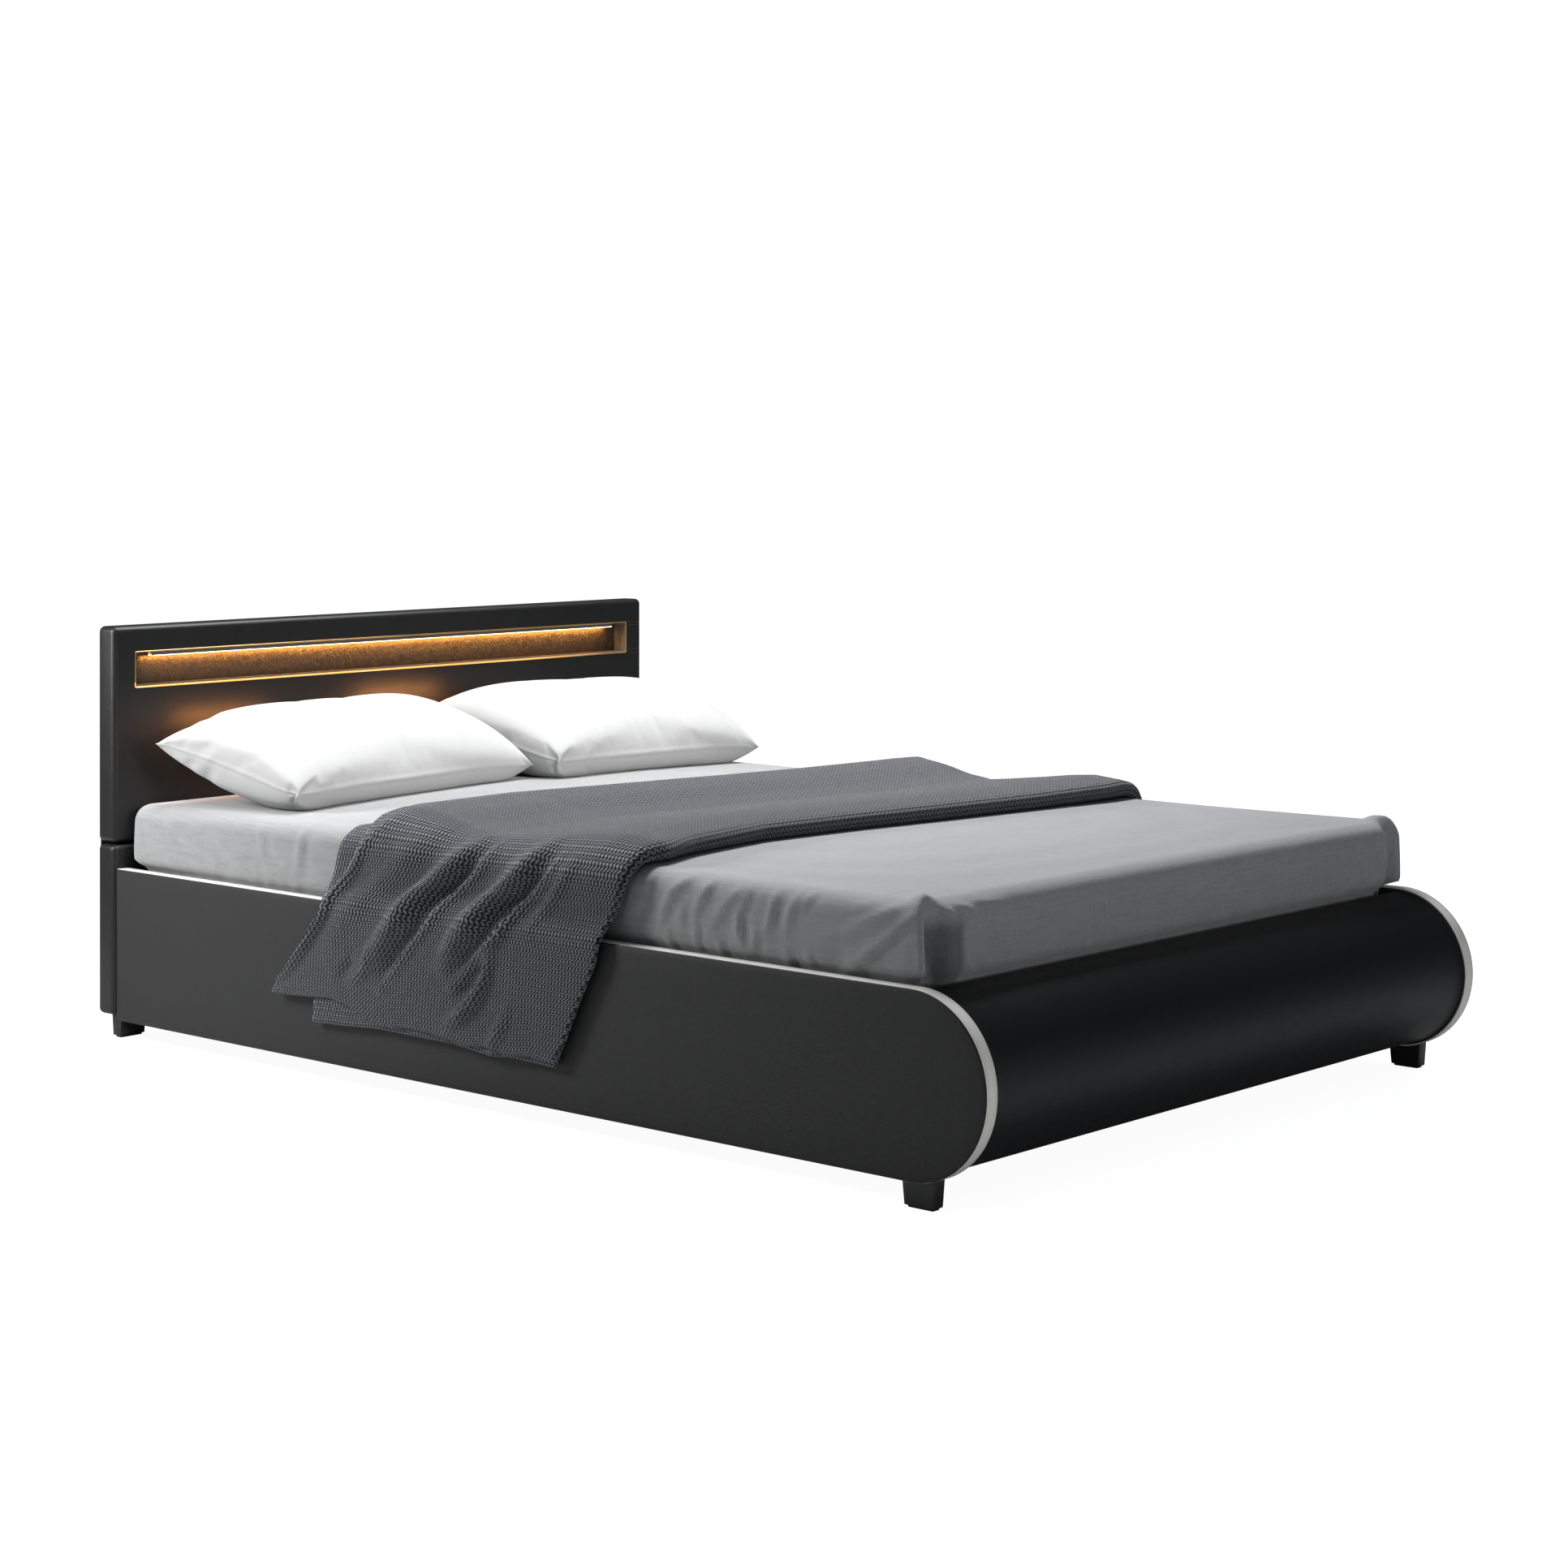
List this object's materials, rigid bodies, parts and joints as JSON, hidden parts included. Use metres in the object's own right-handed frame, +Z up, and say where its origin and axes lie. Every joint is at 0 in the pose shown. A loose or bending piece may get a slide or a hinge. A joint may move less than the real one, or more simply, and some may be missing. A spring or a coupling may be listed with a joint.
{
  "type": "upholstered storage bed",
  "caption": "Double bed in dark leatherette with a round foot end, a lit slot in its headboard, a gas-lift slatted frame over a storage box, mattress, pillows and a knitted throw.",
  "frame": {"origin": "on the floor, below the centre of the bed's overall box", "axes": "+Y towards the headboard, +X to the right of someone who looks from the foot end, +Z up"},
  "size_m": [1.5837, 2.257, 0.828],
  "materials": {
    "black_leatherette": "satin",
    "charcoal_leatherette": "matte",
    "band_leatherette": "satin",
    "chipboard": "matte",
    "dark_board": "matte",
    "beech": "satin",
    "black_steel": "satin",
    "zinc_steel": "satin",
    "bright_rod": "polished",
    "black_plastic": "matte",
    "aluminium": "satin",
    "diffuser": "satin",
    "grey_sheet": "matte",
    "white_cotton": "matte",
    "blue_grey_knit": "matte"
  },
  "bodies": {
    "base": {"headboard_upper_core": "chipboard", "headboard_upper_cover": "black_leatherette", "headboard_lower_core": "chipboard", "headboard_lower_cover": "black_leatherette", "headboard_frame": "beech", "headboard_back": "dark_board", "slot_back_panel": "black_leatherette", "slot_frame": "black_plastic", "led_profile": "aluminium", "led_diffuser": "diffuser", "side_board_left": "dark_board", "side_board_right": "dark_board", "side_cover_left": "charcoal_leatherette", "side_cover_right": "charcoal_leatherette", "edge_band_left": "band_leatherette", "edge_band_right": "band_leatherette", "roll_skin": "black_leatherette", "foot_frame": "dark_board", "head_cross_board": "dark_board", "floor_centre_beam": "beech", "floor_panel_left": "dark_board", "floor_panel_right": "dark_board", "corner_bracket_head_left": "zinc_steel", "corner_bracket_head_right": "zinc_steel", "corner_bracket_foot_left": "zinc_steel", "corner_bracket_foot_right": "zinc_steel", "foot_head_left": "black_plastic", "foot_head_right": "black_plastic", "foot_front_left": "black_plastic", "foot_front_right": "black_plastic", "lift_base_plate_left": "black_steel", "lift_base_plate_right": "black_steel"},
    "long_arm_left": {"lift_long_arm_left": "black_steel"},
    "short_arm_left": {"lift_short_arm_left": "black_steel"},
    "gas_cylinder_left": {"gas_cylinder_left": "black_steel"},
    "gas_rod_left": {"gas_rod_left": "bright_rod"},
    "long_arm_right": {"lift_long_arm_right": "black_steel"},
    "short_arm_right": {"lift_short_arm_right": "black_steel"},
    "gas_cylinder_right": {"gas_cylinder_right": "black_steel"},
    "gas_rod_right": {"gas_rod_right": "bright_rod"},
    "platform": {"lift_frame": "black_steel", "slat_01": "beech", "slat_02": "beech", "slat_03": "beech", "slat_04": "beech", "slat_05": "beech", "slat_06": "beech", "slat_07": "beech", "slat_08": "beech", "slat_09": "beech", "slat_10": "beech", "slat_11": "beech", "slat_12": "beech", "slat_13": "beech", "mattress_hoop": "zinc_steel", "mattress": "grey_sheet", "pillow_left": "white_cotton", "pillow_right": "white_cotton", "throw": "blue_grey_knit"}
  },
  "joints": [
    {"name": "platform_tilt", "type": "hinge", "parent": "long_arm_left", "child": "platform", "pos_m": [0, 0.6765, 0.205], "axis": [-1, 0, 0], "range_deg": [0, 73.2]},
    {"name": "long_arm_left_turn", "type": "hinge", "parent": "base", "child": "long_arm_left", "pos_m": [-0.7135, 0.2725, 0.085], "axis": [1, 0, 0], "range_deg": [0, 39.3]},
    {"name": "short_arm_left_turn", "type": "hinge", "parent": "base", "child": "short_arm_left", "pos_m": [-0.7181, 0.5055, 0.255], "axis": [1, 0, 0], "range_deg": [0, 57.4]},
    {"name": "gas_cylinder_left_turn", "type": "hinge", "parent": "base", "child": "gas_cylinder_left", "pos_m": [-0.6943, 0.568, 0.085], "axis": [1, 0, 0], "range_deg": [0, 49.84]},
    {"name": "gas_rod_left_slide", "type": "slide", "parent": "gas_cylinder_left", "child": "gas_rod_left", "axis": [0, 0.8191, 0.5736], "range_m": [0, 0.0702]},
    {"name": "long_arm_right_turn", "type": "hinge", "parent": "base", "child": "long_arm_right", "pos_m": [0.7135, 0.2725, 0.085], "axis": [1, 0, 0], "range_deg": [0, 39.3]},
    {"name": "short_arm_right_turn", "type": "hinge", "parent": "base", "child": "short_arm_right", "pos_m": [0.7181, 0.5055, 0.255], "axis": [1, 0, 0], "range_deg": [0, 57.4]},
    {"name": "gas_cylinder_right_turn", "type": "hinge", "parent": "base", "child": "gas_cylinder_right", "pos_m": [0.6943, 0.568, 0.085], "axis": [1, 0, 0], "range_deg": [0, 49.84]},
    {"name": "gas_rod_right_slide", "type": "slide", "parent": "gas_cylinder_right", "child": "gas_rod_right", "axis": [0, 0.8191, 0.5736], "range_m": [0, 0.0702]}
  ],
  "couplings": [
    {"joint": "long_arm_left_turn", "follows": "platform_tilt", "ratio": 0.53552},
    {"joint": "short_arm_left_turn", "follows": "platform_tilt", "ratio": 0.78279},
    {"joint": "gas_cylinder_left_turn", "follows": "platform_tilt", "ratio": 0.67951},
    {"joint": "gas_rod_left_slide", "follows": "platform_tilt", "m_per_rad": 0.054791},
    {"joint": "long_arm_right_turn", "follows": "platform_tilt", "ratio": 0.53552},
    {"joint": "short_arm_right_turn", "follows": "platform_tilt", "ratio": 0.78279},
    {"joint": "gas_cylinder_right_turn", "follows": "platform_tilt", "ratio": 0.67951},
    {"joint": "gas_rod_right_slide", "follows": "platform_tilt", "m_per_rad": 0.054791}
  ]
}
